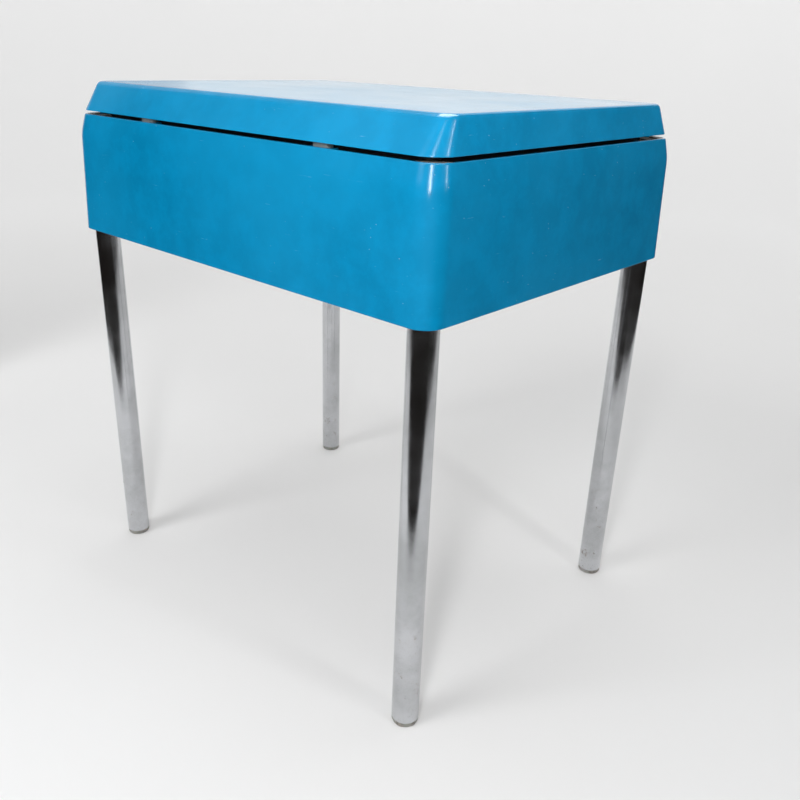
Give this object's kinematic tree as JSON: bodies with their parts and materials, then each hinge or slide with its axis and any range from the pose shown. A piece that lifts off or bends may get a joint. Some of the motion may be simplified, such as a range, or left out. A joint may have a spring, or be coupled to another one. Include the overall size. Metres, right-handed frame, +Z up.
{
  "type": "lidded storage side table",
  "caption": "Small rectangular side table with a shallow moulded storage tray, a hinged moulded lid and straight round tubular legs.",
  "frame": {"origin": "centre of the outline on the floor, under the feet", "axes": "+Z up, the long side runs along X, the front long side faces -Y and the hinges are on the +Y side"},
  "size_m": [0.487, 0.37, 0.528],
  "materials": {
    "blue_body": "gloss with fine scratches",
    "blue_lid": "gloss with fine scratches",
    "tray_plastic": "satin black moulding",
    "floor_board": "dull black board",
    "chrome_tube": "bright chrome, finely pitted",
    "foot_plastic": "translucent, yellowed",
    "socket_plastic": "matt moulded",
    "zinc_steel": "zinc plated",
    "hinge_steel": "dull plated",
    "buffer_rubber": "matt"
  },
  "bodies": {
    "table": {"body_shell": "blue_body", "inner_tray": "tray_plastic", "floor_panel": "floor_board", "leg_front_left": "chrome_tube", "leg_front_right": "chrome_tube", "leg_rear_left": "chrome_tube", "leg_rear_right": "chrome_tube", "foot_front_left": "foot_plastic", "foot_front_right": "foot_plastic", "foot_rear_left": "foot_plastic", "foot_rear_right": "foot_plastic", "socket_front_left": "socket_plastic", "socket_front_right": "socket_plastic", "socket_rear_left": "socket_plastic", "socket_rear_right": "socket_plastic", "leg_lock_screws": "zinc_steel", "floor_screws": "zinc_steel", "buffer_left": "buffer_rubber", "buffer_right": "buffer_rubber", "hinge_left_body_leaf": "hinge_steel", "hinge_left_pin": "zinc_steel", "hinge_right_body_leaf": "hinge_steel", "hinge_right_pin": "zinc_steel", "hinge_body_screws": "zinc_steel"},
    "lid": {"lid_shell": "blue_lid", "hinge_left_lid_leaf": "hinge_steel", "hinge_right_lid_leaf": "hinge_steel", "hinge_lid_screws": "zinc_steel"}
  },
  "joints": [
    {"name": "lid_hinge", "type": "hinge", "parent": "table", "child": "lid", "pos_m": [0, 0.1764, 0.49825], "axis": [-1, 0, 0], "range_deg": [0, 105]}
  ]
}
